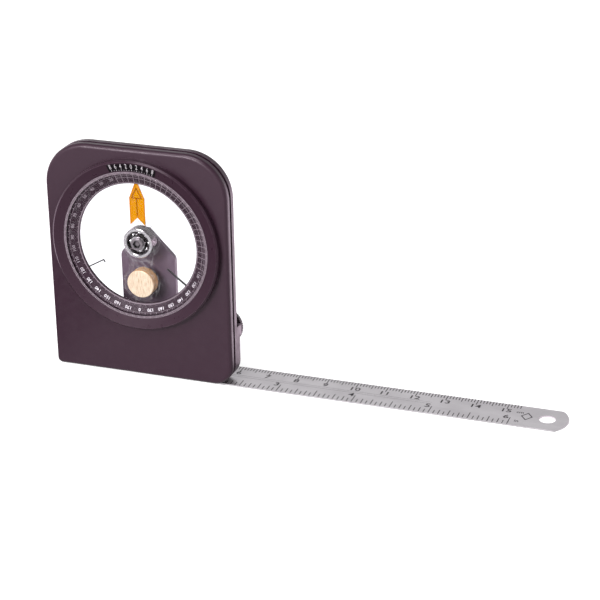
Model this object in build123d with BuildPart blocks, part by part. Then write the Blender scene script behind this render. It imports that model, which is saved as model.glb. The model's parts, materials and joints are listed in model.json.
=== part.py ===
from build123d import *
import os
from math import cos, radians, sin, sqrt

os.makedirs("parts", exist_ok=True)

# A pendulum goniometer standing on a steel rule. All sizes are in millimetres.
# X runs along the rule, Y from the front of the case to its back, and Z up. The origin is on the
# underside of the rule, straight below the dial's axis, in the plane where the case halves meet.

# ---------------------------------------------------------------- driving dimensions

# Steel rule, which the case stands on
rule_length = 170.4
rule_width = 13.9
rule_thickness = 0.5
rule_zero_x = -30.5
rule_front_y = -1.35
rule_hole_radius = 2.6
rule_hole_inset = 6.7
rule_end_radius = 9.5
rule_gap = 0.02

# Case
case_width = 62.6
case_floor = rule_thickness + rule_gap
case_top = 78.3
case_front = -3.05
case_back = 3.4
crown_radius = 14.6
heel_radius = 6.5
toe_radius = 1.6
front_edge_radius = 1.3
back_edge_radius = 1.0
pad_back = 5.0
pad_top = 19.1
wall = 1.6
skin = 1.2
foot_height = 4.1
seam_half = 0.65
seam_depth = 0.7

# Dial, window and pendulum, all on one axis
axis_z = 46.4
bezel_radius = 28.7
bezel_front = -5.55
dial_front = -4.65
dial_radius = 24.95
dial_window_radius = 20.4
dial_lip_front = -2.70
dial_lip_thickness = 0.75
dial_clearance = 0.1
lens_thickness = 0.7
lens_radius = 24.36
flange_radius = 26.9
flange_thickness = 0.6
spigot_radius = 26.17
retainer_radius = 29.1
rear_window_radius = 24.6
rear_opening_radius = 23.9
rear_window_thickness = 0.8

# Ball bearing, 3 x 10 x 4, open
bearing_bore_radius = 1.5
bearing_outer_radius = 5.0
bearing_width = 4.0
bearing_back = 1.45
ball_radius = 0.794
ball_count = 8
ball_pitch_radius = 3.15
raceway_radius = 0.81
race_land = 0.72
race_chamfer = 0.3

# Pendulum
pendulum_front = -1.35
pendulum_thickness = 1.5
boss_radius = 6.4
boss_front = -2.0
boss_back = 1.3
weight_radius = 4.65
weight_drop = 14.3
weight_front = -1.95
weight_back = 1.95
edge_chamfer = 0.2
pointer_half_width = 2.6
pointer_tip = 21.4
pointer_shoulder = 15.1
pointer_tail = 6.0
pointer_notch = 8.5
pointer_thickness = 0.3

# Rear plate, a bar across the case's back with a gable up to the axle, and its thumb screws
plate_thickness = 1.8
bar_bottom = 15.0
bar_top = pad_top
gable_half_width = 9.5
gable_eaves_z = 39.8
gable_apex_z = 49.4
thumb_x = 25.0
thumb_z = (bar_bottom + bar_top) / 2
thumb_radius = 6.3
thumb_thickness = 1.3
thumb_shank_radius = 1.23
thumb_recess_depth = 0.4
thumb_rim = 1.2
knurl_count = 48
knurl_radius = 0.2
insert_radius = 2.1
insert_front = 1.0
insert_boss_radius = 2.9

# Screws and magnets
case_screw_places = [(-24.5, 70.8), (24.5, 70.8), (-25.0, 8.5), (24.0, 8.5)]
case_screw_head_radius = 1.7
case_screw_head_depth = 1.0
case_screw_radius = 0.98
case_screw_slot_length = 2.2
case_screw_slot_width = 0.45
case_screw_slot_depth = 0.4
pilot_radius = 1.0
retainer_screw_circle = 28.05
retainer_screw_radius = 0.6
retainer_head_radius = 1.0
retainer_head_thickness = 0.5
retainer_slot_length = 1.5
retainer_slot_width = 0.3
retainer_slot_depth = 0.25
retainer_screw_angles = [30, 150, 270]
magnet_places = [-21.0, -2.5, 16.0]
magnet_length = 12.0
magnet_width = 3.4
magnet_height = 3.0

# Gaps: between fitted parts, between parts that turn against each other, and round loose screws
fit_gap = 0.02
running_gap = 0.05
loose_gap = 0.1

dial_axis = Axis((0, 0, axis_z), (0, 1, 0))
plate_back = pad_back + plate_thickness


def front_plane(y):
    """Upright plane at depth y, seen from the front: its normal points to the viewer."""
    return Plane.XZ.offset(-y)


def section_plane():
    """Level plane through the dial's axis, where round parts are drawn as (radius, depth)."""
    return Plane.XY.offset(axis_z)


smallest_corner = 0.4


def case_outline(inset, floor):
    """Front view of the case, drawn inset inside its real edge and standing on floor."""
    with BuildSketch() as outline:
        with Locations((0, floor)):
            height = case_top - inset - floor
            Rectangle(case_width - 2 * inset, height, align=(Align.CENTER, Align.MIN))
        fillet(outline.vertices().group_by(Axis.Y)[-1], crown_radius - inset)
        feet = outline.vertices().group_by(Axis.Y)[0].sort_by(Axis.X)
        fillet(feet[-1], heel_radius - inset)
        feet = outline.vertices().group_by(Axis.Y)[0].sort_by(Axis.X)
        fillet(feet[0], max(toe_radius - inset, smallest_corner))
    return outline.sketch


case_edge = case_outline(0, case_floor)
tongue_edge = case_outline(seam_depth, case_floor + seam_depth)
cavity_edge = case_outline(wall, case_floor + foot_height)


def polar(radius, angle):
    """Point of the front view at a radius and an angle from the dial's axis, 0 being to the right."""
    return (radius * cos(radians(angle)), axis_z + radius * sin(radians(angle)))


def magnet_pockets():
    """Slots for the base magnets, open downwards through both halves of the foot."""
    with Locations([(x, 0, case_floor) for x in magnet_places]):
        Box(magnet_length + 2 * fit_gap, magnet_width + 2 * fit_gap, magnet_height + fit_gap,
            align=(Align.CENTER, Align.CENTER, Align.MIN), mode=Mode.SUBTRACT)


# ---------------------------------------------------------------- case halves

retainer_hole_depth = 0.9
inner_front = case_front + skin
inner_back = case_back - skin
boss_meeting_y = 0.5
case_boss_radius = 2.2
rear_boss_radius = 2.6

with BuildPart() as front_shell:
    with BuildSketch(front_plane(-seam_half)):
        add(case_edge)
    extrude(amount=-seam_half - case_front)
    fillet(front_shell.faces().sort_by(Axis.Y)[0].edges(), front_edge_radius)
    with BuildSketch(front_plane(-seam_half)):
        add(cavity_edge)
    extrude(amount=-seam_half - inner_front, mode=Mode.SUBTRACT)
    with BuildSketch(front_plane(boss_meeting_y)):
        with Locations(case_screw_places):
            Circle(case_boss_radius)
    extrude(amount=boss_meeting_y - inner_front)
    with BuildSketch(front_plane(boss_meeting_y)):
        with Locations(case_screw_places):
            Circle(pilot_radius)
    extrude(amount=boss_meeting_y - inner_front - fit_gap, mode=Mode.SUBTRACT)
    with BuildSketch(front_plane(inner_front)):
        with Locations((0, axis_z)):
            Circle(spigot_radius + fit_gap)
    extrude(amount=skin, mode=Mode.SUBTRACT)
    with BuildSketch(front_plane(inner_front)):
        with Locations([polar(retainer_screw_circle, a) for a in retainer_screw_angles]):
            Circle(retainer_screw_radius + fit_gap)
    extrude(amount=retainer_hole_depth, mode=Mode.SUBTRACT)
    magnet_pockets()
front_shell.part.label = "front_shell"
export_step(front_shell.part, "parts/front_shell.step")

rear_boss_front = boss_meeting_y + running_gap
insert_boss_front = insert_front - 0.2
pad_height = pad_top - case_floor

with BuildPart() as rear_shell:
    with BuildSketch(front_plane(case_back)):
        add(case_edge)
    extrude(amount=case_back - seam_half)
    fillet(rear_shell.faces().sort_by(Axis.Y)[-1].edges(), back_edge_radius)
    with BuildSketch(front_plane(pad_back)):
        add(case_edge)
        with Locations((0, case_floor)):
            Rectangle(case_width, pad_height, align=(Align.CENTER, Align.MIN), mode=Mode.INTERSECT)
    extrude(amount=pad_back - inner_back)
    with BuildSketch(front_plane(seam_half)):
        add(tongue_edge)
    extrude(amount=2 * seam_half)
    with BuildSketch(front_plane(inner_back)):
        add(cavity_edge)
    extrude(amount=inner_back + seam_half, mode=Mode.SUBTRACT)
    with BuildSketch(front_plane(inner_back)):
        with Locations(case_screw_places):
            Circle(rear_boss_radius)
    extrude(amount=inner_back - rear_boss_front)
    with BuildSketch(front_plane(inner_back)):
        with Locations((-thumb_x, thumb_z), (thumb_x, thumb_z)):
            Circle(insert_boss_radius)
    extrude(amount=inner_back - insert_boss_front)
    with BuildSketch(front_plane(pad_back)):
        with Locations((-thumb_x, thumb_z), (thumb_x, thumb_z)):
            Circle(insert_radius + fit_gap)
    extrude(amount=pad_back - insert_boss_front, mode=Mode.SUBTRACT)
    with BuildSketch(front_plane(case_back)):
        with Locations(case_screw_places):
            Circle(pilot_radius + loose_gap)
    extrude(amount=case_back - rear_boss_front, mode=Mode.SUBTRACT)
    with BuildSketch(front_plane(pad_back)):
        with Locations(case_screw_places):
            Circle(case_screw_head_radius + loose_gap)
    extrude(amount=pad_back - case_back + case_screw_head_depth, mode=Mode.SUBTRACT)
    with BuildSketch(front_plane(case_back)):
        with Locations((0, axis_z)):
            Circle(rear_opening_radius)
    extrude(amount=skin, mode=Mode.SUBTRACT)
    with BuildSketch(front_plane(inner_back + rear_window_thickness)):
        with Locations((0, axis_z)):
            Circle(rear_window_radius + fit_gap)
    extrude(amount=rear_window_thickness, mode=Mode.SUBTRACT)
    magnet_pockets()
rear_shell.part.label = "rear_shell"
export_step(rear_shell.part, "parts/rear_shell.step")

case_screw_head_back = case_back - loose_gap
case_screw_end = inner_front + 0.3
with BuildPart() as case_screws:
    with BuildSketch(front_plane(case_screw_head_back)):
        with Locations(case_screw_places):
            Circle(case_screw_head_radius)
    extrude(amount=case_screw_head_depth - loose_gap)
    with BuildSketch(front_plane(case_back - case_screw_head_depth)):
        with Locations(case_screw_places):
            Circle(case_screw_radius)
    extrude(amount=case_back - case_screw_head_depth - case_screw_end)
    with BuildSketch(front_plane(case_screw_head_back)):
        with Locations(case_screw_places):
            Rectangle(case_screw_slot_width, case_screw_slot_length)
            Rectangle(case_screw_slot_length, case_screw_slot_width)
    extrude(amount=case_screw_slot_depth, mode=Mode.SUBTRACT)
case_screws.part.label = "case_screws"
export_step(case_screws.part, "parts/case_screws.step")

with BuildPart() as base_magnets:
    with Locations([(x, 0, case_floor) for x in magnet_places]):
        Box(magnet_length, magnet_width, magnet_height, align=(Align.CENTER, Align.CENTER, Align.MIN))
base_magnets.part.label = "base_magnets"
export_step(base_magnets.part, "parts/base_magnets.step")

# ---------------------------------------------------------------- bezel and vernier

bezel_bore_radius = dial_radius + dial_clearance
bezel_rim_radius = bezel_radius - 0.5
bezel_bevel_back = bezel_front + 0.45
vernier_half_angle = 17.8
vernier_turn = 0.6
vernier_start_angle = vernier_turn - vernier_half_angle
vernier_thickness = 0.12
vernier_inner_radius = bezel_bore_radius + 0.25
vernier_outer_radius = bezel_rim_radius - 0.45

with BuildPart() as bezel:
    with BuildSketch(section_plane()):
        with BuildLine():
            Polyline(
                (bezel_bore_radius, dial_front),
                (bezel_rim_radius, bezel_front),
                (bezel_radius, bezel_bevel_back),
                (bezel_radius, case_front),
                (spigot_radius, case_front),
                (spigot_radius, inner_front),
                (bezel_bore_radius, inner_front),
                close=True,
            )
        make_face()
    revolve(axis=dial_axis)
bezel.part.label = "bezel"
export_step(bezel.part, "parts/bezel.step")


def dish_depth(radius):
    """Depth of the bezel's dished face at a radius."""
    share = (radius - bezel_bore_radius) / (bezel_rim_radius - bezel_bore_radius)
    return dial_front + share * (bezel_front - dial_front)


vernier_start = Plane(
    origin=(0, 0, axis_z),
    x_dir=(sin(radians(vernier_start_angle)), 0, cos(radians(vernier_start_angle))),
    z_dir=(-cos(radians(vernier_start_angle)), 0, sin(radians(vernier_start_angle))),
)
with BuildPart() as vernier_plate:
    with BuildSketch(vernier_start):
        with BuildLine():
            Polyline(
                (vernier_inner_radius, dish_depth(vernier_inner_radius)),
                (vernier_outer_radius, dish_depth(vernier_outer_radius)),
                (vernier_outer_radius, dish_depth(vernier_outer_radius) - vernier_thickness),
                (vernier_inner_radius, dish_depth(vernier_inner_radius) - vernier_thickness),
                close=True,
            )
        make_face()
    revolve(axis=dial_axis, revolution_arc=2 * vernier_half_angle)
vernier_plate.part.label = "vernier_plate"
export_step(vernier_plate.part, "parts/vernier_plate.step")

# ---------------------------------------------------------------- turning dial

lens_seat = dial_front + lens_thickness
rim_radius = lens_radius + 0.04
cone_outer_radius = 23.9
lip_root_radius = 23.4
dial_lip_back = dial_lip_front + dial_lip_thickness
lens_chamfer = 0.15
flange_front = inner_front + running_gap
flange_back = flange_front + flange_thickness
groove_y = -3.2
groove_half = 0.33
groove_floor_radius = dial_radius - 0.55
o_ring_radius = 0.28

# Reading wires, set radially into the dial ring's inner lip
wire_y = -2.33
wire_root_radius = dial_window_radius + 1.4
left_wire_angle = 209.5
left_wire_radius = 0.2
left_wire_tip = 14.2
right_wire_angle = -37.5
right_wire_radius = 0.32
right_wire_tip = 12.5
hook_length = 0.9


def wire_point(radius, angle):
    """Point on a reading wire's centre line."""
    x, z = polar(radius, angle)
    return Vector(x, wire_y, z)


def wire_section(angle):
    """Plane square to a reading wire at its root, facing the dial's axis."""
    inwards = (-cos(radians(angle)), 0, -sin(radians(angle)))
    return Plane(origin=wire_point(wire_root_radius, angle), z_dir=inwards)


with BuildPart() as dial_ring:
    with BuildSketch(section_plane()):
        with BuildLine():
            Polyline(
                (dial_window_radius, dial_lip_front),
                (cone_outer_radius, lens_seat),
                (rim_radius, lens_seat),
                (rim_radius, dial_front),
                (dial_radius, dial_front),
                (dial_radius, groove_y - groove_half),
                (groove_floor_radius, groove_y - groove_half),
                (groove_floor_radius, groove_y + groove_half),
                (dial_radius, groove_y + groove_half),
                (dial_radius, flange_front),
                (flange_radius, flange_front),
                (flange_radius, flange_back),
                (cone_outer_radius, flange_back),
                (lip_root_radius, dial_lip_back),
                (dial_window_radius, dial_lip_back),
                close=True,
            )
        make_face()
    revolve(axis=dial_axis)
    with BuildSketch(wire_section(left_wire_angle)):
        Circle(left_wire_radius + fit_gap)
    extrude(amount=wire_root_radius - left_wire_tip, mode=Mode.SUBTRACT)
    with BuildSketch(wire_section(right_wire_angle)):
        Circle(right_wire_radius + fit_gap)
    extrude(amount=wire_root_radius - right_wire_tip, mode=Mode.SUBTRACT)
dial_ring.part.label = "dial_ring"
export_step(dial_ring.part, "parts/dial_ring.step")

with BuildPart() as reading_wire_left:
    wire_tip = wire_point(left_wire_tip, left_wire_angle)
    with BuildLine() as left_path:
        Polyline(
            wire_point(wire_root_radius, left_wire_angle),
            wire_tip,
            wire_tip + Vector(hook_length / 2, 0, -hook_length),
        )
    with BuildSketch(wire_section(left_wire_angle)):
        Circle(left_wire_radius)
    sweep(path=left_path.wires()[0], transition=Transition.ROUND)
reading_wire_left.part.label = "reading_wire_left"
export_step(reading_wire_left.part, "parts/reading_wire_left.step")

with BuildPart() as reading_wire_right:
    with BuildSketch(wire_section(right_wire_angle)):
        Circle(right_wire_radius)
    extrude(amount=wire_root_radius - right_wire_tip)
reading_wire_right.part.label = "reading_wire_right"
export_step(reading_wire_right.part, "parts/reading_wire_right.step")

with BuildPart() as dial_lens:
    with BuildSketch(front_plane(lens_seat)):
        with Locations((0, axis_z)):
            Circle(lens_radius)
    extrude(amount=lens_thickness)
    chamfer(dial_lens.faces().sort_by(Axis.Y)[0].edges(), lens_chamfer)
dial_lens.part.label = "dial_lens"
export_step(dial_lens.part, "parts/dial_lens.step")

with BuildPart() as dial_o_ring:
    with BuildSketch(section_plane()):
        with Locations((bezel_bore_radius - fit_gap - o_ring_radius, groove_y)):
            Circle(o_ring_radius)
    revolve(axis=dial_axis)
dial_o_ring.part.label = "dial_o_ring"
export_step(dial_o_ring.part, "parts/dial_o_ring.step")

retainer_front = flange_back + running_gap
retainer_back = retainer_front + 0.6
retainer_inner_radius = flange_radius - 1.6
retainer_step_radius = flange_radius + loose_gap
with BuildPart() as dial_retainer:
    with BuildSketch(section_plane()):
        with BuildLine():
            Polyline(
                (retainer_inner_radius, retainer_front),
                (retainer_step_radius, retainer_front),
                (retainer_step_radius, inner_front),
                (retainer_radius, inner_front),
                (retainer_radius, retainer_back),
                (retainer_inner_radius, retainer_back),
                close=True,
            )
        make_face()
    revolve(axis=dial_axis)
    with BuildSketch(front_plane(retainer_back)):
        with Locations([polar(retainer_screw_circle, a) for a in retainer_screw_angles]):
            Circle(retainer_screw_radius + fit_gap)
    extrude(amount=retainer_back - inner_front, mode=Mode.SUBTRACT)
dial_retainer.part.label = "dial_retainer"
export_step(dial_retainer.part, "parts/dial_retainer.step")

retainer_screw_end = inner_front - retainer_hole_depth + loose_gap
with BuildPart() as retainer_screws:
    with BuildSketch(front_plane(retainer_back + retainer_head_thickness)):
        with Locations([polar(retainer_screw_circle, a) for a in retainer_screw_angles]):
            Circle(retainer_head_radius)
    extrude(amount=retainer_head_thickness)
    with BuildSketch(front_plane(retainer_back)):
        with Locations([polar(retainer_screw_circle, a) for a in retainer_screw_angles]):
            Circle(retainer_screw_radius)
    extrude(amount=retainer_back - retainer_screw_end)
    with BuildSketch(front_plane(retainer_back + retainer_head_thickness)):
        with Locations([polar(retainer_screw_circle, a) for a in retainer_screw_angles]):
            Rectangle(retainer_slot_width, retainer_slot_length)
    extrude(amount=retainer_slot_depth, mode=Mode.SUBTRACT)
retainer_screws.part.label = "retainer_screws"
export_step(retainer_screws.part, "parts/retainer_screws.step")

# ---------------------------------------------------------------- rear window and axle

axle_radius = bearing_bore_radius - fit_gap
window_hub_radius = 4.0
axle_head_radius = 2.1
axle_head_front = -3.5
axle_head_edge = 0.25
axle_end = plate_back - loose_gap
socket_radius = 1.4
socket_depth = 0.75
spacer_radius = 2.2
bearing_front = bearing_back - bearing_width

with BuildPart() as rear_window:
    with BuildSketch(section_plane()):
        with BuildLine():
            Polyline(
                (axle_radius + fit_gap, inner_back),
                (rear_window_radius, inner_back),
                (rear_window_radius, inner_back + rear_window_thickness),
                (window_hub_radius, inner_back + rear_window_thickness),
                (window_hub_radius, pad_back),
                (axle_radius + fit_gap, pad_back),
                close=True,
            )
        make_face()
    revolve(axis=dial_axis)
rear_window.part.label = "rear_window"
export_step(rear_window.part, "parts/rear_window.step")

with BuildPart() as axle_screw:
    with BuildSketch(front_plane(bearing_front)):
        with Locations((0, axis_z)):
            Circle(axle_head_radius)
    extrude(amount=bearing_front - axle_head_front)
    fillet(axle_screw.faces().sort_by(Axis.Y)[0].edges(), axle_head_edge)
    with BuildSketch(front_plane(axle_end)):
        with Locations((0, axis_z)):
            Circle(axle_radius)
    extrude(amount=axle_end - bearing_front)
    with BuildSketch(front_plane(axle_head_front)):
        with Locations((0, axis_z)):
            RegularPolygon(socket_radius, 6)
    extrude(amount=-socket_depth, mode=Mode.SUBTRACT)
axle_screw.part.label = "axle_screw"
export_step(axle_screw.part, "parts/axle_screw.step")

with BuildPart() as axle_spacer:
    with BuildSketch(front_plane(inner_back)):
        with Locations((0, axis_z)):
            Circle(spacer_radius)
            Circle(axle_radius + fit_gap, mode=Mode.SUBTRACT)
    extrude(amount=inner_back - bearing_back)
axle_spacer.part.label = "axle_spacer"
export_step(axle_spacer.part, "parts/axle_spacer.step")

# ---------------------------------------------------------------- ball bearing

bearing_mid = (bearing_front + bearing_back) / 2

with BuildPart() as bearing_inner_race:
    with BuildSketch(section_plane()):
        with Locations((bearing_bore_radius, bearing_mid)):
            Rectangle(ball_pitch_radius - race_land - bearing_bore_radius, bearing_width,
                      align=(Align.MIN, Align.CENTER))
        with Locations((ball_pitch_radius, bearing_mid)):
            Circle(raceway_radius, mode=Mode.SUBTRACT)
    revolve(axis=dial_axis)
bearing_inner_race.part.label = "bearing_inner_race"
export_step(bearing_inner_race.part, "parts/bearing_inner_race.step")

with BuildPart() as bearing_outer_race:
    with BuildSketch(section_plane()):
        with BuildLine():
            Polyline(
                (ball_pitch_radius + race_land, bearing_front + race_chamfer),
                (ball_pitch_radius + race_land + race_chamfer, bearing_front),
                (bearing_outer_radius - edge_chamfer, bearing_front),
                (bearing_outer_radius, bearing_front + edge_chamfer),
                (bearing_outer_radius, bearing_back - edge_chamfer),
                (bearing_outer_radius - edge_chamfer, bearing_back),
                (ball_pitch_radius + race_land + race_chamfer, bearing_back),
                (ball_pitch_radius + race_land, bearing_back - race_chamfer),
                close=True,
            )
        make_face()
        with Locations((ball_pitch_radius, bearing_mid)):
            Circle(raceway_radius, mode=Mode.SUBTRACT)
    revolve(axis=dial_axis)
bearing_outer_race.part.label = "bearing_outer_race"
export_step(bearing_outer_race.part, "parts/bearing_outer_race.step")

ball_angles = [i * 360 / ball_count for i in range(ball_count)]
ball_places = [
    (polar(ball_pitch_radius, a)[0], bearing_mid, polar(ball_pitch_radius, a)[1]) for a in ball_angles
]
with BuildPart() as bearing_balls:
    with Locations(ball_places):
        Sphere(ball_radius)
bearing_balls.part.label = "bearing_balls"
export_step(bearing_balls.part, "parts/bearing_balls.step")

cage_front = bearing_mid - 0.35
cage_back = bearing_mid + 1.15
cage_half_thickness = 0.42
cage_pocket_radius = ball_radius + 0.04
with BuildPart() as bearing_cage:
    with BuildSketch(front_plane(cage_back)):
        with Locations((0, axis_z)):
            Circle(ball_pitch_radius + cage_half_thickness)
            Circle(ball_pitch_radius - cage_half_thickness, mode=Mode.SUBTRACT)
    extrude(amount=cage_back - cage_front)
    with Locations(ball_places):
        Sphere(cage_pocket_radius, mode=Mode.SUBTRACT)
bearing_cage.part.label = "bearing_cage"
export_step(bearing_cage.part, "parts/bearing_cage.step")

# ---------------------------------------------------------------- pendulum

arm_half_width = 2.2
arm_tip = pointer_tip - 1.0
lobe_radius = 6.2
neck_half_width = 4.0
pendulum_back = pendulum_front + pendulum_thickness

with BuildPart() as pendulum_body:
    with BuildSketch(front_plane(pendulum_back)):
        with Locations((0, axis_z)):
            Circle(boss_radius)
        with Locations((0, axis_z - weight_drop)):
            Circle(lobe_radius)
        with Locations((0, axis_z - weight_drop / 2)):
            Rectangle(2 * neck_half_width, weight_drop)
        with BuildLine():
            Polyline(
                (-arm_half_width, axis_z),
                (-arm_half_width, axis_z + pointer_shoulder),
                (0, axis_z + arm_tip),
                (arm_half_width, axis_z + pointer_shoulder),
                (arm_half_width, axis_z),
                close=True,
            )
        make_face()
    extrude(amount=pendulum_thickness)
    with BuildSketch(front_plane(boss_back)):
        with Locations((0, axis_z)):
            Circle(boss_radius)
    extrude(amount=boss_back - boss_front)
    with BuildSketch(front_plane(boss_back)):
        with Locations((0, axis_z)):
            Circle(bearing_outer_radius + fit_gap)
        with Locations((0, axis_z - weight_drop)):
            Circle(weight_radius + fit_gap)
    extrude(amount=boss_back - boss_front, mode=Mode.SUBTRACT)
pendulum_body.part.label = "pendulum_body"
export_step(pendulum_body.part, "parts/pendulum_body.step")

with BuildPart() as pendulum_weight:
    with BuildSketch(front_plane(weight_back)):
        with Locations((0, axis_z - weight_drop)):
            Circle(weight_radius)
    extrude(amount=weight_back - weight_front)
    chamfer(pendulum_weight.faces().sort_by(Axis.Y)[0].edges(), edge_chamfer)
    chamfer(pendulum_weight.faces().sort_by(Axis.Y)[-1].edges(), edge_chamfer)
pendulum_weight.part.label = "pendulum_weight"
export_step(pendulum_weight.part, "parts/pendulum_weight.step")

with BuildPart() as pointer:
    with BuildSketch(front_plane(pendulum_front)):
        with BuildLine():
            Polyline(
                (0, axis_z + pointer_tip),
                (pointer_half_width, axis_z + pointer_shoulder),
                (pointer_half_width, axis_z + pointer_tail),
                (0, axis_z + pointer_notch),
                (-pointer_half_width, axis_z + pointer_tail),
                (-pointer_half_width, axis_z + pointer_shoulder),
                close=True,
            )
        make_face()
        with Locations((0, axis_z)):
            Circle(boss_radius + running_gap, mode=Mode.SUBTRACT)
    extrude(amount=pointer_thickness)
pointer.part.label = "pointer"
export_step(pointer.part, "parts/pointer.step")

# ---------------------------------------------------------------- rear plate and thumb screws

eaves_radius = 3.0
apex_radius = 1.2
bar_corner_radius = 0.8
plate_chamfer = 0.3
thumb_hole_radius = thumb_shank_radius + 0.07
half_width = case_width / 2
touch = 0.01

with BuildPart() as rear_plate:
    with BuildSketch(front_plane(plate_back)) as plate_outline:
        with BuildLine():
            Polyline(
                (-half_width, bar_bottom),
                (half_width, bar_bottom),
                (half_width, bar_top),
                (gable_half_width, bar_top),
                (gable_half_width, gable_eaves_z),
                (0, gable_apex_z),
                (-gable_half_width, gable_eaves_z),
                (-gable_half_width, bar_top),
                (-half_width, bar_top),
                close=True,
            )
        make_face()
        for height, radius in (
            (bar_bottom, bar_corner_radius),
            (bar_top, bar_corner_radius),
            (gable_eaves_z, eaves_radius),
            (gable_apex_z, apex_radius),
        ):
            corners = plate_outline.vertices().filter_by_position(Axis.Y, height - touch, height + touch)
            fillet(corners, radius)
    extrude(amount=plate_thickness)
    chamfer(rear_plate.faces().sort_by(Axis.Y)[-1].edges(), plate_chamfer)
    with BuildSketch(front_plane(plate_back)):
        with Locations((0, axis_z)):
            Circle(axle_radius + fit_gap)
        with Locations((-thumb_x, thumb_z), (thumb_x, thumb_z)):
            Circle(thumb_hole_radius)
    extrude(amount=plate_thickness, mode=Mode.SUBTRACT)
rear_plate.part.label = "rear_plate"
export_step(rear_plate.part, "parts/rear_plate.step")

insert_back = pad_back - running_gap
insert_bore_radius = thumb_shank_radius + 0.04
with BuildPart() as threaded_inserts:
    with BuildSketch(front_plane(insert_back)):
        with Locations((-thumb_x, thumb_z), (thumb_x, thumb_z)):
            Circle(insert_radius)
            Circle(insert_bore_radius, mode=Mode.SUBTRACT)
    extrude(amount=insert_back - insert_front)
threaded_inserts.part.label = "threaded_inserts"
export_step(threaded_inserts.part, "parts/threaded_inserts.step")

knob_front = plate_back + loose_gap
knob_back = knob_front + thumb_thickness
knurl_circle_radius = thumb_radius + 0.05
shank_end = insert_front + loose_gap


def thumb_screw(x):
    """One thumb screw: a knurled round head behind the plate and a shank reaching the insert."""
    with BuildPart() as screw:
        with BuildSketch(front_plane(knob_back)):
            with Locations((x, thumb_z)):
                Circle(thumb_radius)
                with PolarLocations(knurl_circle_radius, knurl_count):
                    Circle(knurl_radius, mode=Mode.SUBTRACT)
        extrude(amount=thumb_thickness)
        with BuildSketch(front_plane(knob_back)):
            with Locations((x, thumb_z)):
                Circle(thumb_radius - thumb_rim)
        extrude(amount=thumb_recess_depth, mode=Mode.SUBTRACT)
        with BuildSketch(front_plane(knob_front)):
            with Locations((x, thumb_z)):
                Circle(thumb_shank_radius)
        extrude(amount=knob_front - shank_end)
    return screw.part


thumb_screw_left = thumb_screw(-thumb_x)
thumb_screw_left.label = "thumb_screw_left"
export_step(thumb_screw_left, "parts/thumb_screw_left.step")

thumb_screw_right = thumb_screw(thumb_x)
thumb_screw_right.label = "thumb_screw_right"
export_step(thumb_screw_right, "parts/thumb_screw_right.step")

# ---------------------------------------------------------------- steel rule

rule_back_y = rule_front_y + rule_width
rule_mid_y = rule_front_y + rule_width / 2
rule_end_x = rule_zero_x + rule_length
end_arc_depth = rule_end_radius - sqrt(rule_end_radius**2 - (rule_width / 2) ** 2)

with BuildPart() as steel_rule:
    with BuildSketch(Plane.XY):
        with BuildLine():
            Polyline(
                (rule_end_x - end_arc_depth, rule_front_y),
                (rule_zero_x, rule_front_y),
                (rule_zero_x, rule_back_y),
                (rule_end_x - end_arc_depth, rule_back_y),
            )
            ThreePointArc(
                (rule_end_x - end_arc_depth, rule_back_y),
                (rule_end_x, rule_mid_y),
                (rule_end_x - end_arc_depth, rule_front_y),
            )
        make_face()
        with Locations((rule_end_x - rule_hole_inset, rule_mid_y)):
            Circle(rule_hole_radius, mode=Mode.SUBTRACT)
    extrude(amount=rule_thickness)
steel_rule.part.label = "steel_rule"
export_step(steel_rule.part, "parts/steel_rule.step")
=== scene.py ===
import json
from math import cos, hypot, radians, sin

import bmesh
import bpy
from mathutils import Matrix, Vector


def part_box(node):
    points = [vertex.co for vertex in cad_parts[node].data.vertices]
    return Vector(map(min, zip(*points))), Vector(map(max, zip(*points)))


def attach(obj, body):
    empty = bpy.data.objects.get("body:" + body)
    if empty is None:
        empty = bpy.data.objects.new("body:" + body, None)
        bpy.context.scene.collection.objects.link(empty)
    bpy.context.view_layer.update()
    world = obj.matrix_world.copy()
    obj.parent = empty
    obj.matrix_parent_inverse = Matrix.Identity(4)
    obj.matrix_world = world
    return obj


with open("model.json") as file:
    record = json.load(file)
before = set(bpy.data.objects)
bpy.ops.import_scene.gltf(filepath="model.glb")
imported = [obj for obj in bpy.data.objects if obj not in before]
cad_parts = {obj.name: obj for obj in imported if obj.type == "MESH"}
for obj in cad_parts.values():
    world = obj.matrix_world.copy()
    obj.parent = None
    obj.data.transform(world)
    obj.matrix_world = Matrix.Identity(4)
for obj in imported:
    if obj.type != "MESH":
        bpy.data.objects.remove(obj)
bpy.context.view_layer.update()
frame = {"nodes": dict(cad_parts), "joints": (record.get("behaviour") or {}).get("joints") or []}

MM = 0.001
nodes = frame["nodes"]
joints = {joint["name"]: joint for joint in frame["joints"]}
AXIS = Vector(joints["dial_turn"]["pos_m"])


# ---------------------------------------------------------------- material helpers

WHITE = (1.0, 1.0, 1.0)


class NodeTree:
    """A node tree with short calls for adding and joining nodes."""

    def __init__(self, tree):
        self.tree = tree

    def add(self, kind, links=None, **settings):
        """Adds a node, sets its properties or input values by name, and joins its inputs."""
        node = self.tree.nodes.new("ShaderNode" + kind)
        for key, value in settings.items():
            if hasattr(node, key):
                setattr(node, key, value)
            else:
                node.inputs[key.replace("_", " ")].default_value = value
        for key, source in (links or {}).items():
            self.tree.links.new(source, node.inputs[key])
        return node

    def scaled(self, value, factor, offset=0.0):
        """value * factor + offset."""
        node = self.add("Math", {0: value}, operation="MULTIPLY_ADD")
        node.inputs[1].default_value = factor
        node.inputs[2].default_value = offset
        return node.outputs[0]

    def times(self, first, second):
        """Product of two values."""
        return self.add("Math", {0: first, 1: second}, operation="MULTIPLY").outputs[0]

    def rise(self, value, start, end):
        """0 where the value is at start or before it, 1 from end onwards, and even in between."""
        return self.add("MapRange", {"Value": value}, From_Min=start, From_Max=end).outputs["Result"]


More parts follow.
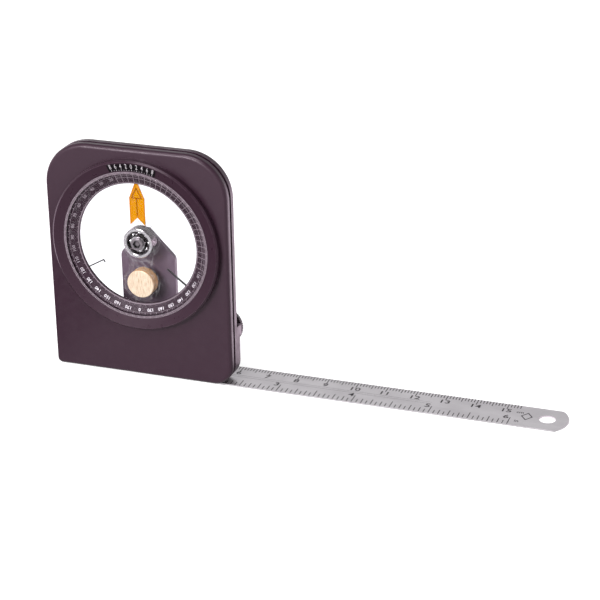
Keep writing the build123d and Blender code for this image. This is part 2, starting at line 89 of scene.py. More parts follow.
class Shader(NodeTree):
    """A new node material."""

    def __init__(self, name):
        self.material = bpy.data.materials.new(name)
        self.material.use_nodes = True
        super().__init__(self.material.node_tree)
        self.tree.nodes.clear()
        self.output = self.tree.nodes.new("ShaderNodeOutputMaterial")

    def object_space(self, scale=(1, 1, 1)):
        """Object coordinates in millimetres, stretched by scale."""
        where = self.add("TexCoord").outputs["Object"]
        return self.add("Mapping", {"Vector": where}, Scale=[s / MM for s in scale]).outputs["Vector"]

    def noise(self, scale, detail=3.0, stretch=(1, 1, 1), roughness=0.5):
        """Noise with features of about 1 / scale millimetres."""
        place = self.object_space(stretch)
        return self.add("TexNoise", {"Vector": place}, Scale=scale, Detail=detail,
                        Roughness=roughness).outputs["Fac"]

    def ramp(self, value, *stops):
        """Maps a value to colours or greys through (position, colour) stops."""
        node = self.add("ValToRGB", {"Fac": value})
        while len(node.color_ramp.elements) < len(stops):
            node.color_ramp.elements.new(0.5)
        for element, (position, colour) in zip(node.color_ramp.elements, stops):
            element.position = position
            element.color = (*colour, 1) if isinstance(colour, tuple) else (colour, colour, colour, 1)
        return node.outputs["Color"]

    def bump(self, height, strength, distance_mm, normal=None):
        """Surface relief from a height value."""
        links = {"Height": height}
        if normal is not None:
            links["Normal"] = normal
        return self.add("Bump", links, Strength=strength, Distance=distance_mm * MM).outputs["Normal"]

    def mix(self, factor, first, second):
        """Blends two colours, each a socket or a tuple, by a factor."""
        node = self.tree.nodes.new("ShaderNodeMix")
        node.data_type = "RGBA"
        for slot, value in ((0, factor), (6, first), (7, second)):
            if isinstance(value, (int, float)):
                node.inputs[slot].default_value = value
            elif isinstance(value, tuple):
                node.inputs[slot].default_value = (*value, 1)
            else:
                self.tree.links.new(value, node.inputs[slot])
        return node.outputs[2]

    def edge_mask(self, radius_mm):
        """About 1 on convex edges and 0 on flats, from how far a rounded normal leans."""
        rounded = self.add("Bevel", samples=4, Radius=radius_mm * MM).outputs["Normal"]
        flat = self.add("NewGeometry").outputs["Normal"]
        dot = self.add("VectorMath", operation="DOT_PRODUCT")
        self.tree.links.new(rounded, dot.inputs[0])
        self.tree.links.new(flat, dot.inputs[1])
        return self.ramp(dot.outputs["Value"], (0.80, 1.0), (0.995, 0.0))

    def side_mask(self, low=0.3, high=0.75):
        """1 on faces that look sideways and 0 on those that look forwards or back."""
        forward = self.add("SeparateXYZ", {0: self.add("NewGeometry").outputs["Normal"]}).outputs["Y"]
        size = self.add("Math", {0: forward}, operation="ABSOLUTE").outputs[0]
        return self.ramp(size, (low, 1.0), (high, 0.0))

    def surface(self, **settings):
        """Principled surface as the material's output. Sockets given as values are joined."""
        node = self.tree.nodes.new("ShaderNodeBsdfPrincipled")
        for key, value in settings.items():
            socket = node.inputs[key.replace("_", " ")]
            if isinstance(value, bpy.types.NodeSocket):
                self.tree.links.new(value, socket)
            elif isinstance(value, tuple):
                socket.default_value = (*value, 1)
            else:
                socket.default_value = value
        self.tree.links.new(node.outputs["BSDF"], self.output.inputs["Surface"])
        return node


def moulded_plastic(name, base, light, grain=6.0, rough=(0.28, 0.44), wear_and_highlight=0.5, specular=0.45, relief=0.35):
    """Dark moulded plastic: fine spark-eroded grain, slow colour drift, faint dust, and paler edges that are
    partly wear and partly painted highlight.
    """
    s = Shader(name)
    drift = s.noise(0.05, 4.0)
    colour = s.mix(drift, base, tuple(1.25 * c for c in base))
    specks = s.ramp(s.noise(2.2, 2.0, roughness=0.7), (0.70, 0.0), (0.78, 1.0))
    dusty = s.mix(0.10, colour, light)
    colour = s.mix(specks, colour, dusty)
    # Paler convex edges: partly rubbed wear, partly a painted highlight along the fillets.
    edge_wear_and_highlight = s.times(s.edge_mask(0.35), s.ramp(s.noise(0.6, 3.0), (0.35, 0.2), (0.65, 1.0)))
    colour = s.mix(s.scaled(edge_wear_and_highlight, wear_and_highlight), colour, light)
    roughness = s.ramp(s.noise(0.4, 4.0), (0.3, rough[0]), (0.7, rough[1]))
    normal = s.bump(s.noise(grain, 2.0), relief, 0.02)
    s.surface(
        Base_Color=colour,
        Roughness=roughness,
        Normal=normal,
        Specular_IOR_Level=specular,
        Specular_Tint=(1.0, 0.86, 0.95),
    )
    return s.material


def printed_ink(name, colour, variation=0.12, rough=0.55, specular=0.3):
    """Screen-printed ink: nearly even, with slight thin spots."""
    s = Shader(name)
    thin = s.noise(8.0, 3.0)
    darker = tuple(c * (1 - variation) for c in colour)
    s.surface(
        Base_Color=s.mix(thin, darker, colour),
        Roughness=s.ramp(thin, (0.3, rough - 0.08), (0.7, rough + 0.08)),
        Normal=s.bump(thin, 0.2, 0.01),
        Specular_IOR_Level=specular,
    )
    return s.material


def height_shaded_ink(name, lit_colour, shaded_colour, low_mm, high_mm):
    """Screen-printed ink painted darker with height, as shade: the lit colour below low_mm, the shaded colour
    above high_mm.
    """
    s = Shader(name)
    thin = s.noise(8.0, 3.0)
    height = s.add("SeparateXYZ", {0: s.object_space()}).outputs["Z"]
    # Painted shade: marks higher up the dial are darker, as the sloping face there gets less light.
    painted_shade = s.mix(0.15, s.rise(height, low_mm, high_mm), thin)
    s.surface(
        Base_Color=s.mix(painted_shade, lit_colour, shaded_colour),
        Roughness=s.ramp(thin, (0.3, 0.47), (0.7, 0.63)),
        Normal=s.bump(thin, 0.2, 0.01),
        Specular_IOR_Level=0.3,
    )
    return s.material


def turned_metal(name, base, rough=(0.18, 0.34), scale=2.0, metallic=1.0):
    """Machined metal with fine tool marks and small changes of shine."""
    s = Shader(name)
    marks = s.noise(scale, 4.0)
    stain = s.noise(0.35, 3.0)
    colour = s.mix(stain, tuple(0.88 * c for c in base), base)
    s.surface(
        Base_Color=colour,
        Metallic=metallic,
        Roughness=s.ramp(marks, (0.3, rough[0]), (0.7, rough[1])),
        Normal=s.bump(marks, 0.25, 0.01),
    )
    return s.material


def faced_brass():
    """Sawn and faced brass: pale gold ends with upright file marks, and sides painted deeper orange and less
    metallic as shade.
    """
    s = Shader("faced_brass")
    file_marks = s.noise(1.0, 4.0, stretch=(3.2, 0.5, 0.35), roughness=0.65)
    blotches = s.noise(0.45, 3.0)
    colour = s.mix(blotches, (0.72, 0.56, 0.42), (0.83, 0.70, 0.55))
    colour = s.mix(s.ramp(file_marks, (0.48, 0.0), (0.62, 0.8)), colour, (0.52, 0.33, 0.19))
    # Sideways faces get a deeper orange, a painted shade.
    side = s.side_mask()
    colour = s.mix(side, colour, (0.78, 0.44, 0.20))
    s.surface(
        Base_Color=colour,
        Metallic=s.scaled(side, -0.1, 0.3),
        Roughness=s.ramp(file_marks, (0.3, 0.32), (0.7, 0.5)),
        Normal=s.bump(file_marks, 0.6, 0.03),
    )
    return s.material


def socket_steel():
    """Blued steel screw head whose socket is painted dark as shade, from ambient occlusion."""
    s = Shader("axle_steel")
    marks = s.noise(3.0, 4.0)
    # Painted shade: the colour goes nearly black where ambient occlusion finds the socket's hollow.
    open_air = s.add("AmbientOcclusion", Distance=0.9 * MM, samples=8).outputs["AO"]
    unshaded = s.ramp(open_air, (0.72, 0.0), (0.97, 1.0))
    s.surface(
        Base_Color=s.mix(unshaded, (0.012, 0.010, 0.012), (0.24, 0.21, 0.23)),
        Metallic=0.8,
        Roughness=s.ramp(marks, (0.3, 0.30), (0.7, 0.45)),
        Normal=s.bump(marks, 0.2, 0.01),
    )
    return s.material


def bearing_steel():
    """Ground bearing rings: bright end faces, with bores and rims painted dark as shade."""
    s = Shader("race_steel")
    marks = s.noise(3.0, 4.0)
    s.surface(
        # Sideways faces are painted dark, as shade.
        Base_Color=s.mix(s.side_mask(), (0.66, 0.63, 0.66), (0.12, 0.10, 0.11)),
        Metallic=0.9,
        Roughness=s.ramp(marks, (0.3, 0.18), (0.7, 0.30)),
        Normal=s.bump(marks, 0.2, 0.01),
    )
    return s.material


def satin_steel():
    """Satin-chromed spring steel: streaks along the rule, faint smears and fine scratches."""
    s = Shader("satin_steel")
    streaks = s.noise(1.0, 4.0, stretch=(0.05, 9.0, 1.0), roughness=0.6)
    grain = s.noise(5.0, 2.0)
    smears = s.noise(0.08, 4.0, stretch=(1.0, 2.0, 1.0))
    colour = s.mix(streaks, (0.62, 0.59, 0.62), (0.79, 0.76, 0.79))
    colour = s.mix(s.ramp(smears, (0.40, 0.0), (0.65, 0.35)), colour, (0.46, 0.43, 0.46))
    rough = s.mix(0.5, s.ramp(streaks, (0.3, 0.30), (0.7, 0.44)), s.ramp(grain, (0.3, 0.32), (0.7, 0.46)))
    normal = s.bump(streaks, 0.3, 0.01, s.bump(grain, 0.25, 0.008))
    s.surface(Base_Color=colour, Metallic=0.9, Roughness=rough, Normal=normal)
    return s.material


def clear_pane(name, tint, haze):
    """Flat clear sheet: what is behind shows through, with a weak sheen and faint hairline scuffs."""
    s = Shader(name)
    scuffs = s.ramp(s.noise(0.9, 5.0, stretch=(1.0, 1.0, 0.15), roughness=0.7), (0.62, 0.0), (0.75, haze))
    facing = s.add("LayerWeight", Blend=0.25).outputs["Facing"]
    sheen = s.scaled(facing, 0.04, 0.004)
    through = s.add("BsdfTransparent", Color=(*tint, 1))
    gloss = s.add("BsdfGlossy", {"Roughness": s.ramp(scuffs, (0.0, 0.05), (1.0, 0.5))}, Color=(*WHITE, 1))
    milk = s.add("BsdfDiffuse", Color=(0.8, 0.8, 0.82, 1))
    body = s.add("MixShader", {0: sheen, 1: through.outputs[0], 2: gloss.outputs[0]})
    whole = s.add("MixShader", {0: scuffs, 1: body.outputs[0], 2: milk.outputs[0]})
    s.tree.links.new(whole.outputs[0], s.output.inputs["Surface"])
    return s.material


def clear_acrylic():
    """Thick clear acrylic: nearly invisible flat faces with hazy scuffs, and sides painted faint grey in
    streaks, as the shade and reflections seen in thick edges.
    """
    s = Shader("clear_acrylic")
    flow = s.noise(0.5, 2.0)
    side = s.side_mask(0.25, 0.85)
    streaks = s.ramp(s.noise(0.7, 3.0), (0.35, 0.15), (0.65, 1.0))
    facing = s.add("LayerWeight", Blend=0.3).outputs["Facing"]
    sheen = s.scaled(facing, 0.03, 0.003)
    through = s.add("BsdfTransparent", Color=(0.99, 0.99, 0.99, 1))
    gloss = s.add("BsdfGlossy", {"Roughness": s.ramp(flow, (0.3, 0.04), (0.7, 0.12))}, Color=(*WHITE, 1))
    painted_edge_shade = s.add("BsdfDiffuse", Color=(0.34, 0.32, 0.35, 1))
    milk = s.add("BsdfDiffuse", Color=(0.80, 0.78, 0.80, 1))
    scuffs = s.ramp(s.noise(1.3, 5.0, stretch=(1.0, 1.0, 0.5), roughness=0.75), (0.50, 0.0), (0.72, 0.22))
    polished = s.add("MixShader", {0: sheen, 1: through.outputs[0], 2: gloss.outputs[0]})
    flat = s.add("MixShader", {0: scuffs, 1: polished.outputs[0], 2: milk.outputs[0]})
    # Painted shade: streaks of grey diffuse on sideways faces.
    share = s.scaled(s.times(side, streaks), 0.16)
    whole = s.add("MixShader", {0: share, 1: flat.outputs[0], 2: painted_edge_shade.outputs[0]})
    s.tree.links.new(whole.outputs[0], s.output.inputs["Surface"])
    return s.material


def orange_film():
    """Fluorescent orange film: light from behind comes through it deeply coloured."""
    s = Shader("orange_film")
    mottle = s.noise(1.2, 3.0)
    colour = s.mix(mottle, (0.66, 0.285, 0.0), (0.74, 0.34, 0.0))
    body = s.surface(
        Base_Color=colour,
        Roughness=s.ramp(mottle, (0.3, 0.35), (0.7, 0.5)),
        Normal=s.bump(mottle, 0.15, 0.01),
        Specular_IOR_Level=0.08,
    )
    through = s.add("BsdfTransparent", {"Color": colour})
    whole = s.add("MixShader", {1: body.outputs[0], 2: through.outputs[0]}, Fac=0.6)
    s.tree.links.new(whole.outputs[0], s.output.inputs["Surface"])
    return s.material


# ---------------------------------------------------------------- materials of the object

AUBERGINE = (0.023, 0.0088, 0.017)
AUBERGINE_PALE = (0.24, 0.18, 0.22)

case_plastic = moulded_plastic("case_plastic", AUBERGINE, AUBERGINE_PALE)
bezel_plastic = moulded_plastic("bezel_plastic", (0.023, 0.009, 0.017), AUBERGINE_PALE, grain=9.0,
                                rough=(0.26, 0.34), wear_and_highlight=0.3, specular=0.27, relief=0.05)
dial_black = moulded_plastic("dial_black", (0.019, 0.008, 0.015), (0.14, 0.10, 0.13), grain=10.0,
                             rough=(0.40, 0.50), wear_and_highlight=0.3, specular=0.3)
label_black = moulded_plastic("label_black", (0.002, 0.001, 0.002), (0.05, 0.04, 0.045), grain=10.0,
                              rough=(0.45, 0.55), wear_and_highlight=0.1, specular=0.15)
inner_plastic = moulded_plastic("inner_plastic", (0.02, 0.018, 0.02), (0.1, 0.1, 0.1), rough=(0.5, 0.6))
knob_plastic = moulded_plastic("knob_plastic", (0.028, 0.018, 0.024), (0.22, 0.18, 0.21), grain=7.0,
                               rough=(0.38, 0.5), wear_and_highlight=0.7)
rubber_black = moulded_plastic("rubber_black", (0.012, 0.012, 0.012), (0.06, 0.06, 0.06), grain=5.0,
                               rough=(0.7, 0.85), wear_and_highlight=0.1)
degree_ink = printed_ink("degree_ink", (0.29, 0.23, 0.27))
scale_ink = printed_ink("scale_ink", (0.24, 0.185, 0.22))
# Numerals are painted darker higher up the dial, as shade.
numeral_ink = height_shaded_ink("numeral_ink", (0.80, 0.74, 0.80), (0.20, 0.155, 0.185), 32.0, 40.0)
vernier_ink = printed_ink("vernier_ink", (0.42, 0.38, 0.41))
etched_black = printed_ink("etched_black", (0.035, 0.028, 0.034), variation=0.4, rough=0.6)
arrow_ink = printed_ink("arrow_ink", (0.20, 0.045, 0.0), variation=0.2, specular=0.05)
plate_paint = moulded_plastic("plate_paint", (0.105, 0.070, 0.098), (0.34, 0.29, 0.33), grain=5.0,
                              rough=(0.28, 0.42), wear_and_highlight=0.5, specular=0.5)
bright_steel = turned_metal("bright_steel", (0.60, 0.58, 0.60))
race_steel = bearing_steel()
ball_steel = turned_metal("ball_steel", (0.78, 0.77, 0.79), rough=(0.05, 0.12), scale=4.0)
cage_steel = turned_metal("cage_steel", (0.05, 0.04, 0.045), rough=(0.35, 0.50), scale=3.0, metallic=0.5)
axle_steel = socket_steel()
black_wire = turned_metal("black_wire", (0.016, 0.012, 0.015), rough=(0.5, 0.65), scale=3.0, metallic=0.1)
magnet_nickel = turned_metal("magnet_nickel", (0.58, 0.57, 0.56), rough=(0.15, 0.3))
insert_brass = turned_metal("insert_brass", (0.80, 0.58, 0.28), rough=(0.25, 0.4))
weight_brass = faced_brass()
rule_steel = satin_steel()
lens_clear = clear_pane("lens_clear", (0.985, 0.985, 0.99), haze=0.10)
window_clear = clear_pane("window_clear", (0.975, 0.975, 0.985), haze=0.09)
acrylic = clear_acrylic()
orange = orange_film()

finishes = {
    "front_shell": case_plastic,
    "rear_shell": case_plastic,
    "bezel": bezel_plastic,
    "vernier_plate": label_black,
    "dial_ring": dial_black,
    "dial_lens": lens_clear,
    "rear_window": window_clear,
    "dial_o_ring": rubber_black,
    "dial_retainer": inner_plastic,
    "retainer_screws": bright_steel,
    "case_screws": bright_steel,
    "axle_screw": axle_steel,
    "axle_spacer": bright_steel,
    "bearing_inner_race": race_steel,
    "bearing_outer_race": race_steel,
    "bearing_balls": ball_steel,
    "bearing_cage": cage_steel,
    "pendulum_body": acrylic,
    "pendulum_weight": weight_brass,
    "pointer": orange,
    "reading_wire_left": black_wire,
    "reading_wire_right": black_wire,
    "rear_plate": plate_paint,
    "threaded_inserts": insert_brass,
    "thumb_screw_left": knob_plastic,
    "thumb_screw_right": knob_plastic,
    "base_magnets": magnet_nickel,
    "steel_rule": rule_steel,
}
for name, material in finishes.items():
    mesh = nodes[name].data
    mesh.materials.clear()
    mesh.materials.append(material)

# Clear parts cast no shadow, so that what stands behind several of them stays lit.
for name in ("dial_lens", "rear_window", "pendulum_body"):
    nodes[name].visible_shadow = False
    nodes[name].visible_diffuse = False


# ---------------------------------------------------------------- printed marks

PRINT_THICKNESS = 0.03 * MM
PRINT_SINK = 0.01 * MM
FONT_HEIGHT = 0.73
FONT_BOLDNESS = 0.012


class Marks:
    """Collects thin closed marks drawn on a flat sheet, then lays them on a surface of the object.

    A flat mark's points are (across, up) in metres, and place(across, up, height) says where they go.
    """

    def __init__(self, name, body, slot, material):
        self.name = name
        self.body = body
        self.slot = slot
        self.material = material
        self.mesh = bmesh.new()

    def prism(self, outline, place):
        """One closed mark with the given outline, PRINT_THICKNESS high."""
        low = [self.mesh.verts.new(place(u, v, -PRINT_SINK)) for u, v in outline]
        high = [self.mesh.verts.new(place(u, v, PRINT_THICKNESS)) for u, v in outline]
        count = len(outline)
        self.mesh.faces.new(high)
        self.mesh.faces.new(low[::-1])
        for i in range(count):
            j = (i + 1) % count
            self.mesh.faces.new((low[i], low[j], high[j], high[i]))

    def bar(self, u0, u1, v0, v1, place):
        """A rectangle between two corners."""
        self.prism([(u0, v0), (u1, v0), (u1, v1), (u0, v1)], place)

    def text(self, words, size, place, squeeze=1.0):
        """Numerals or a unit, size high, squeeze times the usual width, centred on the sheet's origin."""
        curve = bpy.data.curves.new("words", "FONT")
        curve.body = words
        curve.align_x = "CENTER"
        curve.align_y = "CENTER"
        curve.resolution_u = 2
        curve.offset = FONT_BOLDNESS
        curve.extrude = 0.5
        holder = bpy.data.objects.new("words", curve)
        bpy.context.scene.collection.objects.link(holder)
        shape = holder.evaluated_get(bpy.context.evaluated_depsgraph_get()).to_mesh()
        part = bmesh.new()
        part.from_mesh(shape)
        bmesh.ops.remove_doubles(part, verts=part.verts, dist=1e-5)
        grow = size / FONT_HEIGHT
        for vert in part.verts:
            height = PRINT_THICKNESS if vert.co.z > 0 else -PRINT_SINK
            vert.co = place(vert.co.x * grow * squeeze, vert.co.y * grow, height)
        joined = bpy.data.meshes.new("words")
        part.to_mesh(joined)
        part.free()
        self.mesh.from_mesh(joined)
        bpy.data.meshes.remove(joined)
        holder.to_mesh_clear()
        bpy.data.objects.remove(holder)
        bpy.data.curves.remove(curve)

    def finish(self):
        """Makes the piece and puts it on its body."""
        bmesh.ops.recalc_face_normals(self.mesh, faces=self.mesh.faces)
        mesh = bpy.data.meshes.new(self.name)
        self.mesh.to_mesh(mesh)
        self.mesh.free()
        mesh.materials.append(self.material)
        piece = bpy.data.objects.new(self.name, mesh)
        bpy.context.scene.collection.objects.link(piece)
        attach(piece, self.body)
        return piece


def on_cone(angle, radius, depth_at):
    """Place on a cone round the dial's axis: angle in degrees clockwise from the top, radius in metres.

    depth_at(radius) is the cone's depth. Across runs clockwise, up runs outwards.
    """
    step = 0.1 * MM

    def place(across, up, height):
        r = radius + up
        turn = radians(angle) + across / radius
        slope = (depth_at(r + step) - depth_at(r - step)) / (2 * step)
        length = hypot(1, slope)
        r_lifted = r + height * slope / length
        depth = depth_at(r) - height / length
        return Vector((r_lifted * sin(turn), depth, AXIS.z + r_lifted * cos(turn)))

    return place


# Dial ring: its front is a rim, a step down to the lens seat and a cone in to the lip.
RIM_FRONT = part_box("dial_ring")[0].y
lens_low, lens_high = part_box("dial_lens")
bezel_low, bezel_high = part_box("bezel")
SEAT = lens_high.y
LENS_RADIUS = (lens_high.x - lens_low.x) / 2
RIM_OUTER = LENS_RADIUS + 0.57 * MM
CONE_OUTER = LENS_RADIUS - 0.46 * MM
LIP_RADIUS = LENS_RADIUS - 3.96 * MM
LIP_FRONT = SEAT + 1.25 * MM
CELL_SECTOR = (-15, 105)


def cone_depth(radius):
    """Depth of the dial ring's sloping face, between its lip and the lens seat."""
    return LIP_FRONT + (radius - LIP_RADIUS) * (SEAT - LIP_FRONT) / (CONE_OUTER - LIP_RADIUS)


def rim_depth(radius):
    """Depth of the dial ring's rim and of the lens's front, which are flush at every radius."""
    return RIM_FRONT


def circle_line(marks, radius, width, depth_at, start=0, end=360, step=1):
    """A line round the dial, built from short bars that share their ends."""
    half = radians(step) / 2 * radius
    for angle in range(start, end, step):
        marks.bar(-half, half, -width / 2, width / 2, on_cone(angle + step / 2, radius, depth_at))


def ray(marks, angle, inner, outer, width, depth_at):
    """A line along a radius of the dial."""
    marks.bar(-width / 2, width / 2, 0, outer - inner, on_cone(angle, inner, depth_at))


def dial_degrees():
    """The outermost band: a line round the rim with a dense row of single-degree marks."""
    marks = Marks("dial_degrees", "dial", "printed_black", degree_ink)
    rim_line = RIM_OUTER - 0.08 * MM
    inner = LENS_RADIUS - 0.28 * MM
    outer = RIM_OUTER - 0.16 * MM
    line_width = 0.10 * MM
    fine_width = 0.19 * MM
    bold_width = 0.26 * MM
    circle_line(marks, rim_line, line_width, rim_depth)
    for degree in range(360):
        width = bold_width if degree % 5 == 0 else fine_width
        ray(marks, degree, inner, outer, width, rim_depth)
    marks.finish()


def dial_lines():
    """Marks on the sloping face: five-degree marks, a lip line, and two rows of cells on one side."""
    marks = Marks("dial_lines", "dial", "printed_black", scale_ink)
    outer_line = CONE_OUTER - 0.5 * MM
    middle_line = LIP_RADIUS + 2.25 * MM
    lip_line = LIP_RADIUS + 0.35 * MM
    face_outer = CONE_OUTER - 0.02 * MM
    outer_width = 0.07 * MM
    middle_width = 0.13 * MM
    lip_width = 0.24 * MM
    cell_width = 0.14 * MM
    outer_tick_width = 0.15 * MM
    lip_tick_width = 0.12 * MM
    lip_tick = 0.5 * MM
    zero_tick = 0.9 * MM
    circle_line(marks, lip_line, lip_width, cone_depth)
    circle_line(marks, outer_line, outer_width, cone_depth)
    circle_line(marks, middle_line, middle_width, cone_depth, *CELL_SECTOR)
    for angle in range(0, 360, 5):
        in_sector = CELL_SECTOR[0] <= (angle + 180) % 360 - 180 <= CELL_SECTOR[1]
        if in_sector:
            ray(marks, angle, lip_line, face_outer, cell_width, cone_depth)
        else:
            ray(marks, angle, outer_line, face_outer, outer_tick_width, cone_depth)
            reach = zero_tick if angle == 180 else lip_tick
            ray(marks, angle, lip_line, lip_line + reach, lip_tick_width, cone_depth)
    marks.finish()


def dial_numerals():
    """Numerals every ten degrees down both sides, up to 170 and 0 at the bottom, clear of the cells."""
    marks = Marks("dial_numerals", "dial", "printed_black", numeral_ink)
    size = 1.0 * MM
    row = LIP_RADIUS + 2.1 * MM
    for angle in range(CELL_SECTOR[1] + 5, 360 + CELL_SECTOR[0], 10):
        value = min(angle, 360 - angle) % 180
        marks.text(str(value), size, on_cone(angle, row, cone_depth), squeeze=1.12)
    marks.finish()


VERNIER_STEP = 3.9
VERNIER_TURN = 0.6
BEZEL_OUTER = (bezel_high.x - bezel_low.x) / 2
BEZEL_BORE = BEZEL_OUTER - 3.65 * MM
BEZEL_RIM = BEZEL_OUTER - 0.5 * MM
LABEL_THICKNESS = 0.12 * MM


def label_depth(radius):
    """Depth of the vernier label's face, which lies on the bezel's dished front."""
    share = (radius - BEZEL_BORE) / (BEZEL_RIM - BEZEL_BORE)
    return RIM_FRONT + share * (bezel_low.y - RIM_FRONT) - LABEL_THICKNESS


def vernier_scale():
    """Vernier figures 8 6 4 2 0 2 4 6 8 with their ticks, on the black label."""
    marks = Marks("vernier_scale", "case", "printed_black", vernier_ink)
    size = 1.75 * MM
    figure_row = BEZEL_BORE + 1.85 * MM
    tick_foot = BEZEL_BORE + 0.32 * MM
    tick_top = tick_foot + 0.45 * MM
    half_tick_top = tick_foot + 0.3 * MM
    tick_width = 0.16 * MM
    half_tick_width = 0.12 * MM
    last = 4
    for index in range(-last, last + 1):
        angle = VERNIER_TURN + index * VERNIER_STEP
        marks.text(str(abs(2 * index)), size, on_cone(angle, figure_row, label_depth), squeeze=0.62)
        ray(marks, angle, tick_foot, tick_top, tick_width, label_depth)
        if index < last:
            ray(marks, angle + VERNIER_STEP / 2, tick_foot, half_tick_top, half_tick_width, label_depth)
    marks.finish()


def pointer_arrow():
    """A thin printed arrow on the orange film: a triangle on a single line."""
    low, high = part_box("pointer")
    tip = high.z - 2.85 * MM
    base = tip - 3.4 * MM
    tail = low.z + 3.2 * MM
    half_width = 1.7 * MM
    line = 0.32 * MM
    marks = Marks("pointer_arrow", "pendulum", "orange_plastic", arrow_ink)

    def place(across, up, height):
        return Vector((across, low.y - height, up))

    def stroke(start, end):
        along = Vector((end[0] - start[0], end[1] - start[1])).normalized()
        side = Vector((-along.y, along.x)) * line / 2
        a, b = Vector(start), Vector(end)
        marks.prism([a - side, b - side, b + side, a + side], place)

    stroke((0, tip), (half_width, base))
    stroke((0, tip), (-half_width, base))
    stroke((-half_width, base), (half_width, base))
    stroke((0, base), (0, tail))
    marks.finish()


rule_low, rule_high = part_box("steel_rule")
INCH = 25.4 * MM
ETCHING_SHARE = 0.4
CENTIMETRE_ROW = rule_high.y - 4.75 * MM


def on_rule(x, y):
    """Place on top of the rule. Across runs along the rule and up runs away from the viewer.

    Etched marks stand less proud than print, since the case slides over them.
    """

    def place(across, up, height):
        return Vector((x + across, y + up, rule_high.z + ETCHING_SHARE * height))

    return place


def tick_length(step, lengths):
    """Length of the tick at a step: that of the first divisor which divides the step."""
    return next(length for divisor, length in lengths if step % divisor == 0)


def rule_scale():
    """Etched scales: millimetres along the far edge, sixteenths of an inch along the near edge."""
    marks = Marks("rule_scale", "rule", "rule_steel", etched_black)
    zero = rule_low.x
    far = rule_high.y
    near = rule_low.y
    inset = 0.12 * MM
    millimetre_lengths = ((10, 3.6 * MM), (5, 3.0 * MM), (1, 2.2 * MM))
    millimetre_half = 0.14 * MM
    for step in range(1, 155):
        length = tick_length(step, millimetre_lengths)
        marks.bar(-millimetre_half, millimetre_half, -length, -inset, on_rule(zero + step * MM, far))
    inch_lengths = ((16, 4.8 * MM), (8, 4.2 * MM), (4, 3.6 * MM), (2, 3.0 * MM), (1, 2.3 * MM))
    inch_half = 0.13 * MM
    for step in range(1, 16 * 6 + 1):
        length = tick_length(step, inch_lengths)
        marks.bar(-inch_half, inch_half, inset, length, on_rule(zero + step * INCH / 16, near))
    for number in range(1, 16):
        spot = on_rule(zero + number * 10 * MM, CENTIMETRE_ROW)
        marks.text(str(number), 2.3 * MM, spot, squeeze=1.25)
    inch_row = near + 4.9 * MM
    beside_tick = 1.4 * MM
    for number in range(1, 7):
        spot = on_rule(zero + number * INCH - beside_tick, inch_row)
        marks.text(str(number), 2.4 * MM, spot, squeeze=1.2)
    marks.finish()


def rule_marks():
    """Plain lengthwise guide lines, the two unit names and a simple diamond by the end."""
    marks = Marks("rule_guides", "rule", "rule_steel", etched_black)
    zero = rule_low.x
    middle = (rule_low.y + rule_high.y) / 2
    guide_start = zero + 12 * MM
    guide_length = 9 * INCH / 2
    guide_half = 0.03 * MM
    guide_offset = 0.55 * MM
    for y in (middle - guide_offset, middle + guide_offset):
        marks.bar(0, guide_length, -guide_half, guide_half, on_rule(guide_start, y))
    unit_size = 1.5 * MM
    marks.text("cm", unit_size, on_rule(zero + 154.6 * MM, CENTIMETRE_ROW))
    marks.text("in", unit_size, on_rule(zero + 6 * INCH + 2.4 * MM, rule_low.y + 3.0 * MM))
    half_length = 1.9 * MM
    half_width = 2.6 * MM
    line = 0.42 * MM
    inner_share = 1 - line / half_length
    spot = on_rule(rule_high.x - 13.2 * MM, middle)
    corners = [(half_length, 0), (0, half_width), (-half_length, 0), (0, -half_width)]
    for index, start in enumerate(corners):
        end = corners[(index + 1) % 4]
        inner_start = tuple(c * inner_share for c in start)
        inner_end = tuple(c * inner_share for c in end)
        marks.prism([start, end, inner_end, inner_start], spot)
    marks.finish()


dial_degrees()
dial_lines()
dial_numerals()
vernier_scale()
pointer_arrow()
rule_scale()
rule_marks()


# ---------------------------------------------------------------- floor, light and camera


FLOOR_GLOW = 0.75
# Glow that the floor shows in reflections only, a painted reflection.
FLOOR_REFLECTION_GLOW = 2.0
HORIZON_LIGHT = 0.90
OVERHEAD_LIGHT = 0.30
LEFT_SHARE = 1.15
RIGHT_SHARE = 0.95
BACKDROP_WHITE = 1.05
LIGHT_AIM = Vector((0.02, 0, 0.04))


def floor_paper():
    """White paper that glows to the camera.

    For reflection rays only, it is painted dark on the near left and glows bright and faintly lilac behind: a
    painted reflection.
    """
    s = Shader("floor_white")
    dark = (0.05, 0.05, 0.05)
    lilac = (1.0, 0.80, 0.95)
    paper = s.ramp(s.noise(0.02, 3.0), (0.3, 0.60), (0.7, 0.62))
    rays = s.add("LightPath")
    seen = rays.outputs["Is Camera Ray"]
    mirrored = rays.outputs["Is Glossy Ray"]
    place = s.add("SeparateXYZ", {0: s.add("NewGeometry").outputs["Position"]})
    left = s.rise(place.outputs["X"], -0.025, -0.055)
    not_far_ahead = s.rise(place.outputs["Y"], -0.12, -0.08)
    behind = s.rise(place.outputs["Y"], 0.0, 0.03)
    # Painted reflection: for reflection rays only, the floor goes dark on the near left and glows behind it.
    painted_dark_reflection = s.times(s.times(left, not_far_ahead), mirrored)
    painted_reflection_glow = s.times(behind, mirrored)
    diffuse = s.add("BsdfDiffuse", {"Color": s.mix(painted_dark_reflection, paper, dark)})
    glows = {0: s.scaled(seen, FLOOR_GLOW), 1: s.scaled(painted_reflection_glow, FLOOR_REFLECTION_GLOW)}
    strength = s.add("Math", glows, operation="ADD").outputs[0]
    glow = s.add("Emission", {"Strength": strength, "Color": s.mix(seen, lilac, WHITE)})
    lit = s.add("AddShader", {0: diffuse.outputs[0], 1: glow.outputs[0]})
    s.tree.links.new(lit.outputs[0], s.output.inputs["Surface"])
    return s.material


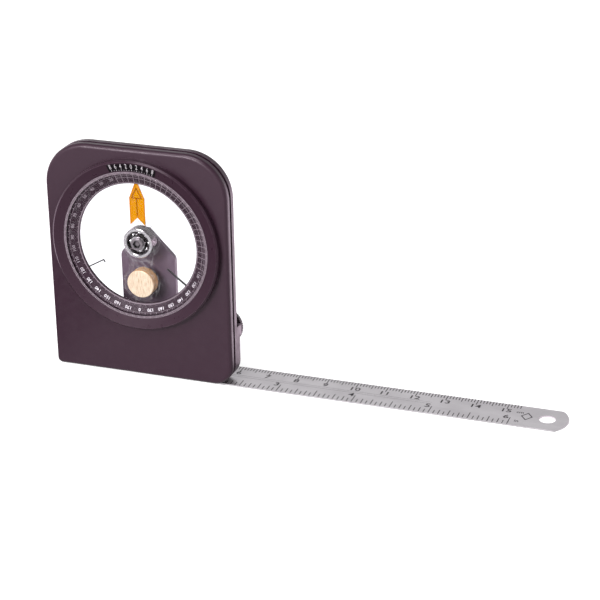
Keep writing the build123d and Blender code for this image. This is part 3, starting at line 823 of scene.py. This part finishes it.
def pale_floor():
    """A wide pale floor just under the rule."""
    size = 4.0
    mesh = bpy.data.meshes.new("floor")
    shape = bmesh.new()
    corners = [shape.verts.new((x * size, y * size, 0)) for x, y in ((-1, -1), (1, -1), (1, 1), (-1, 1))]
    shape.faces.new(corners)
    shape.to_mesh(mesh)
    shape.free()
    mesh.materials.append(floor_paper())
    floor = bpy.data.objects.new("floor", mesh)
    bpy.context.scene.collection.objects.link(floor)
    floor.location.z = rule_low.z - 0.02 * MM


def surround():
    """White to the camera. For other light, bright round the horizon and weaker overhead and on the right."""
    world = bpy.data.worlds.new("surround")
    world.use_nodes = True
    shading = NodeTree(world.node_tree)
    seen = shading.add("LightPath").outputs["Is Camera Ray"]
    direction = shading.add("SeparateXYZ", {0: shading.add("TexCoord").outputs["Generated"]})
    upwards = shading.add("MapRange", {"Value": direction.outputs["Z"]}, interpolation_type="SMOOTHSTEP",
                           From_Min=0.25, From_Max=0.75, To_Min=HORIZON_LIGHT, To_Max=OVERHEAD_LIGHT)
    sideways = shading.add("MapRange", {"Value": direction.outputs["X"]},
                            From_Min=-1, To_Min=LEFT_SHARE, To_Max=RIGHT_SHARE)
    light = shading.times(upwards.outputs["Result"], sideways.outputs["Result"])
    strength = shading.add("Mix", {"Factor": seen, "A": light}, B=BACKDROP_WHITE)
    background = world.node_tree.nodes["Background"]
    world.node_tree.links.new(strength.outputs["Result"], background.inputs["Strength"])
    background.inputs["Color"].default_value = (*WHITE, 1)
    bpy.context.scene.world = world


def softbox(name, direction, distance, size, power):
    """A square area light that looks at the middle of the case from a direction."""
    light = bpy.data.lights.new(name, "AREA")
    light.shape = "SQUARE"
    light.size = size
    light.energy = power
    lamp = bpy.data.objects.new(name, light)
    bpy.context.scene.collection.objects.link(lamp)
    way = Vector(direction).normalized()
    lamp.location = LIGHT_AIM + way * distance
    lamp.rotation_euler = way.to_track_quat("Z", "Y").to_euler()


def studio():
    """Soft light from the front on the left and from high in front, in a white surround."""
    surround()
    softbox("front", (-0.31, -0.86, 0.42), distance=0.9, size=0.34, power=7.0)
    softbox("top", (-0.12, -0.5, 1.0), distance=0.9, size=0.4, power=4.5)
    bpy.context.scene.view_settings.view_transform = "Standard"


CAMERA_TARGET = Vector((54.49, -1.35, 33.47)) * MM
CAMERA_DISTANCE = 614.1 * MM
CAMERA_AZIMUTH = 19.9
CAMERA_ELEVATION = 23.08
CAMERA_ROLL = -0.84
CAMERA_LENS = 117.34


def camera():
    """The camera: azimuth is measured from straight in front, towards the right."""
    data = bpy.data.cameras.new("camera")
    data.lens = CAMERA_LENS
    data.sensor_width = 36
    data.clip_start = 0.01
    eye = bpy.data.objects.new("camera", data)
    bpy.context.scene.collection.objects.link(eye)
    azimuth, elevation = radians(CAMERA_AZIMUTH), radians(CAMERA_ELEVATION)
    back = Vector((sin(azimuth) * cos(elevation), -cos(azimuth) * cos(elevation), sin(elevation)))
    eye.rotation_mode = "QUATERNION"
    turn = (-back).to_track_quat("-Z", "Y")
    roll = Matrix.Rotation(radians(CAMERA_ROLL), 3, "Z").to_quaternion()
    eye.rotation_quaternion = turn @ roll
    eye.location = CAMERA_TARGET + back * CAMERA_DISTANCE
    bpy.context.scene.camera = eye


pale_floor()
studio()
camera()
